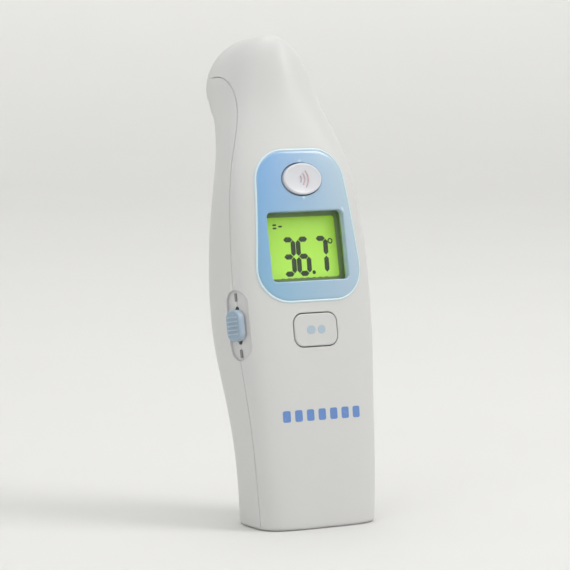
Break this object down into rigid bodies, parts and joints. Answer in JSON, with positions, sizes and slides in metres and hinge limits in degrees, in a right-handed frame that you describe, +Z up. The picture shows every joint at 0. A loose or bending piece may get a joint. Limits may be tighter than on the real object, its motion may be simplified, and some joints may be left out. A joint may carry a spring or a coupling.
{
  "type": "digital thermometer",
  "caption": "Upright non-contact thermometer: white clamshell, blue display bezel with press button, set button, side slider, battery door and sensor in the head.",
  "frame": {"origin": "on the flat base, 2 mm in front of the middle of its depth and on its centre line", "axes": "+Z up along the standing body, -Y out of the display side, +Y out of the sensor end, so +X is the right-hand side seen from the front"},
  "size_m": [0.0507, 0.0559, 0.15],
  "materials": {
    "white_shell": "satin white moulded ABS",
    "blue_bezel": "polished pale blue moulding",
    "clear_window": "clear moulded window",
    "backlit_green": "pale green liquid crystal panel",
    "diffuser": "milky light guide",
    "button_lilac": "pale lilac button cap",
    "slider_blue": "blue slider knob",
    "circuit_board": "green solder mask",
    "black_plastic": "black moulded plastic",
    "connector_rubber": "striped contact rubber",
    "steel": "plated steel",
    "sensor_metal": "turned and polished",
    "cell_jacket": "printed jacket over a metal can"
  },
  "bodies": {
    "housing": {"front_shell": "white_shell", "rear_shell": "white_shell", "display_bezel": "blue_bezel", "display_window": "clear_window", "lcd_panel": "backlit_green", "backlight_panel": "diffuser", "main_board": "circuit_board", "sensor_board": "circuit_board", "lcd_holder": "black_plastic", "processor_chip": "black_plastic", "buzzer": "black_plastic", "measure_switch": "black_plastic", "set_switch": "black_plastic", "slide_switch": "black_plastic", "battery_tray": "black_plastic", "sensor_ring": "black_plastic", "zebra_strip": "connector_rubber", "bridge_contact": "steel", "positive_contact": "steel", "negative_contact": "steel", "shell_screw_left": "steel", "shell_screw_right": "steel", "tray_screw_left": "steel", "tray_screw_right": "steel", "sensor_cup": "sensor_metal", "sensor_can": "sensor_metal", "battery_cell_left": "cell_jacket", "battery_cell_right": "cell_jacket"},
    "measure_button": {"measure_button": "button_lilac"},
    "set_button": {"set_button": "white_shell"},
    "mode_slider": {"mode_slider": "slider_blue"},
    "battery_door": {"battery_door": "white_shell"}
  },
  "joints": [
    {"name": "measure_press", "type": "slide", "parent": "housing", "child": "measure_button", "axis": [0, 0.9781, -0.2079], "range_m": [0, 0.0006], "stiffness_N_per_m": 1500, "springref_m": -0.0006},
    {"name": "set_press", "type": "slide", "parent": "housing", "child": "set_button", "axis": [0, 0.9781, -0.2079], "range_m": [0, 0.0006], "stiffness_N_per_m": 1500, "springref_m": -0.0006},
    {"name": "mode_slide", "type": "slide", "parent": "housing", "child": "mode_slider", "axis": [-0.024, 0.1619, 0.9865], "range_m": [-0.004, 0.004]},
    {"name": "door_hinge", "type": "hinge", "parent": "housing", "child": "battery_door", "pos_m": [0, 0.0162, 0.01], "axis": [-1, 0, 0], "range_deg": [0, 45]}
  ]
}
